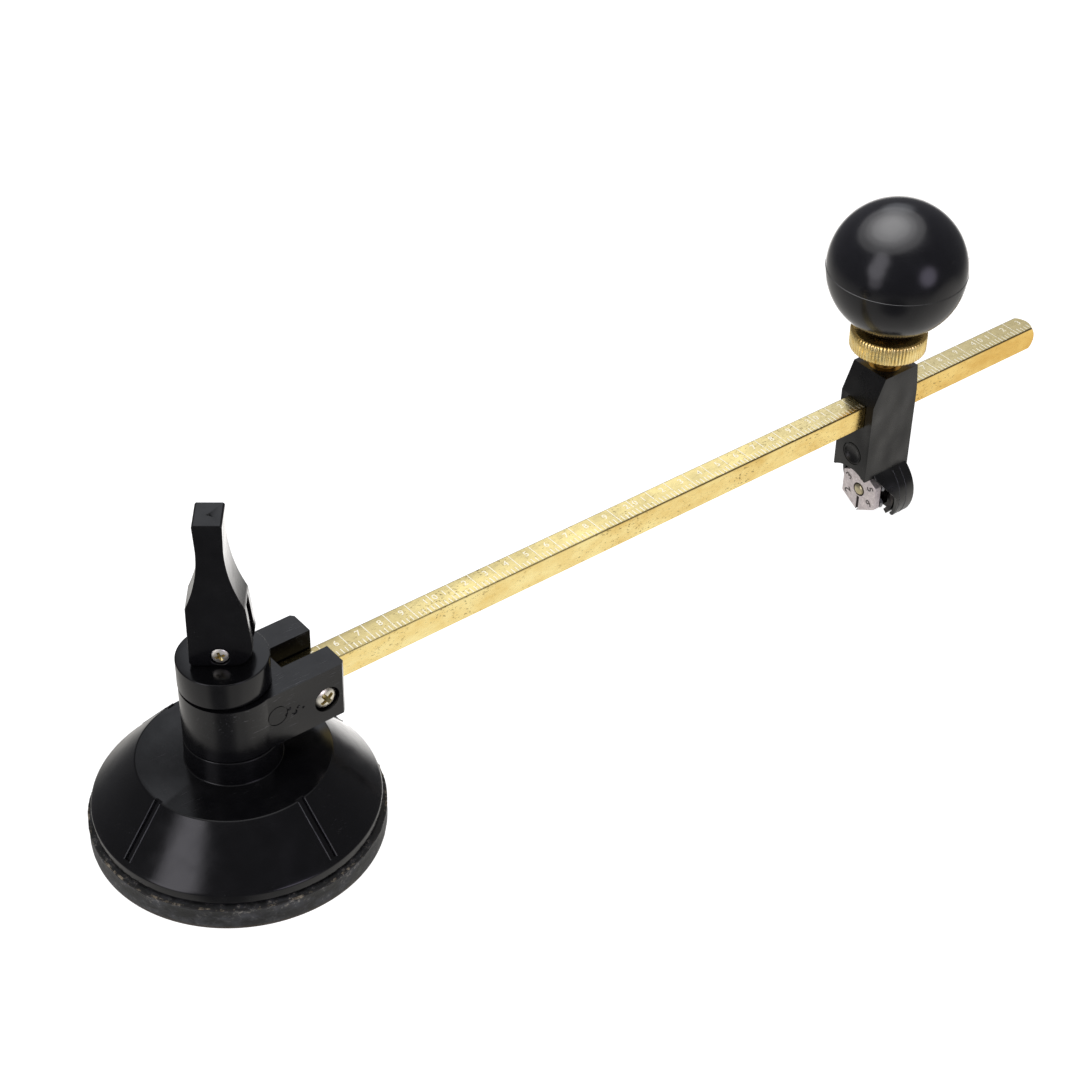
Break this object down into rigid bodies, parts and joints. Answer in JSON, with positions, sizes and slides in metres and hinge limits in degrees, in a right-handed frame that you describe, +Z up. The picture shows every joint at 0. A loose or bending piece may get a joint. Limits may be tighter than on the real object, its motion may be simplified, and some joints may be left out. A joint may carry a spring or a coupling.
{
  "type": "circular glass cutter",
  "caption": "Compass glass cutter: suction cup base with a cam lever, swivelling arm, graduated brass bar and a sliding block with a wheel turret, knurled clamp and ball grip.",
  "frame": {"origin": "on the hub's axis, on the underside of the suction pad", "axes": "+X along the bar towards its free end, +Z up along the hub's axis, +Y the side away from the arm's screw head"},
  "size_m": [0.24, 0.0564, 0.0768],
  "materials": {
    "rubber": "matte, mottled",
    "black_plastic": "glossy moulded",
    "slider_plastic": "satin moulded",
    "brass": "satin, machined",
    "rivet_brass": "dull",
    "nickel_steel": "nickel plated",
    "dark_steel": "blackened",
    "cast_zinc": "rough cast zinc",
    "carbide": "ground"
  },
  "bodies": {
    "base": {"suction_pad": "rubber", "cup_housing": "black_plastic", "hub_cap": "black_plastic"},
    "stem": {"pull_stud": "nickel_steel"},
    "lever": {"cam_lever": "black_plastic", "lever_screw": "nickel_steel"},
    "arm": {"swivel_arm": "black_plastic", "arm_screw": "nickel_steel", "arm_nut": "nickel_steel", "graduated_bar": "brass"},
    "slider": {"slider_block": "slider_plastic", "threaded_insert": "brass", "turret_pin": "rivet_brass", "wave_washer": "nickel_steel", "index_spring": "dark_steel"},
    "shoe": {"pressure_shoe": "brass"},
    "clamp": {"clamp_screw": "brass", "knob_spindle": "nickel_steel"},
    "ball": {"ball_knob": "black_plastic", "knob_bush": "brass"},
    "turret": {"turret_body": "cast_zinc", "turret_back_plate": "dark_steel", "wheel_axle_1": "nickel_steel", "wheel_axle_2": "nickel_steel", "wheel_axle_3": "nickel_steel", "wheel_axle_4": "nickel_steel", "wheel_axle_5": "nickel_steel", "wheel_axle_6": "nickel_steel"},
    "wheel_1": {"cutting_wheel_1": "carbide"},
    "wheel_2": {"cutting_wheel_2": "carbide"},
    "wheel_3": {"cutting_wheel_3": "carbide"},
    "wheel_4": {"cutting_wheel_4": "carbide"},
    "wheel_5": {"cutting_wheel_5": "carbide"},
    "wheel_6": {"cutting_wheel_6": "carbide"}
  },
  "joints": [
    {"name": "arm_swivel", "type": "hinge", "parent": "base", "child": "arm", "pos_m": [0, 0, 0.029], "axis": [0, 0, 1], "continuous": true},
    {"name": "stem_lift", "type": "slide", "parent": "base", "child": "stem", "axis": [0, 0, 1], "range_m": [0, 0.004]},
    {"name": "lever_tilt", "type": "hinge", "parent": "stem", "child": "lever", "pos_m": [-0.00051, 0.00038, 0.0437], "axis": [0.6018, 0.7986, 0], "range_deg": [0, 90]},
    {"name": "slider_slide", "type": "slide", "parent": "arm", "child": "slider", "axis": [1, 0, 0], "range_m": [-0.1325, 0.0375]},
    {"name": "shoe_lift", "type": "slide", "parent": "slider", "child": "shoe", "axis": [0, 0, 1], "range_m": [0, 0.0015]},
    {"name": "clamp_turn", "type": "hinge", "parent": "shoe", "child": "clamp", "pos_m": [0.1655, 0, 0.038], "axis": [0, 0, 1], "range_deg": [0, 540]},
    {"name": "ball_spin", "type": "hinge", "parent": "clamp", "child": "ball", "pos_m": [0.1655, 0, 0.0619], "axis": [0, 0, 1], "continuous": true},
    {"name": "turret_index", "type": "hinge", "parent": "slider", "child": "turret", "pos_m": [0.164, 0, 0.0059], "axis": [1, 0, 0], "continuous": true},
    {"name": "wheel_1_spin", "type": "hinge", "parent": "turret", "child": "wheel_1", "pos_m": [0.1645, 0, 0.00155], "axis": [1, 0, 0], "continuous": true},
    {"name": "wheel_2_spin", "type": "hinge", "parent": "turret", "child": "wheel_2", "pos_m": [0.1645, 0.00377, 0.00373], "axis": [1, 0, 0], "continuous": true},
    {"name": "wheel_3_spin", "type": "hinge", "parent": "turret", "child": "wheel_3", "pos_m": [0.1645, 0.00377, 0.00808], "axis": [1, 0, 0], "continuous": true},
    {"name": "wheel_4_spin", "type": "hinge", "parent": "turret", "child": "wheel_4", "pos_m": [0.1645, 0, 0.01025], "axis": [1, 0, 0], "continuous": true},
    {"name": "wheel_5_spin", "type": "hinge", "parent": "turret", "child": "wheel_5", "pos_m": [0.1645, -0.00377, 0.00808], "axis": [1, 0, 0], "continuous": true},
    {"name": "wheel_6_spin", "type": "hinge", "parent": "turret", "child": "wheel_6", "pos_m": [0.1645, -0.00377, 0.00373], "axis": [1, 0, 0], "continuous": true}
  ],
  "couplings": [
    {"joint": "lever_tilt", "follows": "stem_lift", "rad_per_m": 392.7},
    {"joint": "clamp_turn", "follows": "shoe_lift", "rad_per_m": 6283.2}
  ]
}
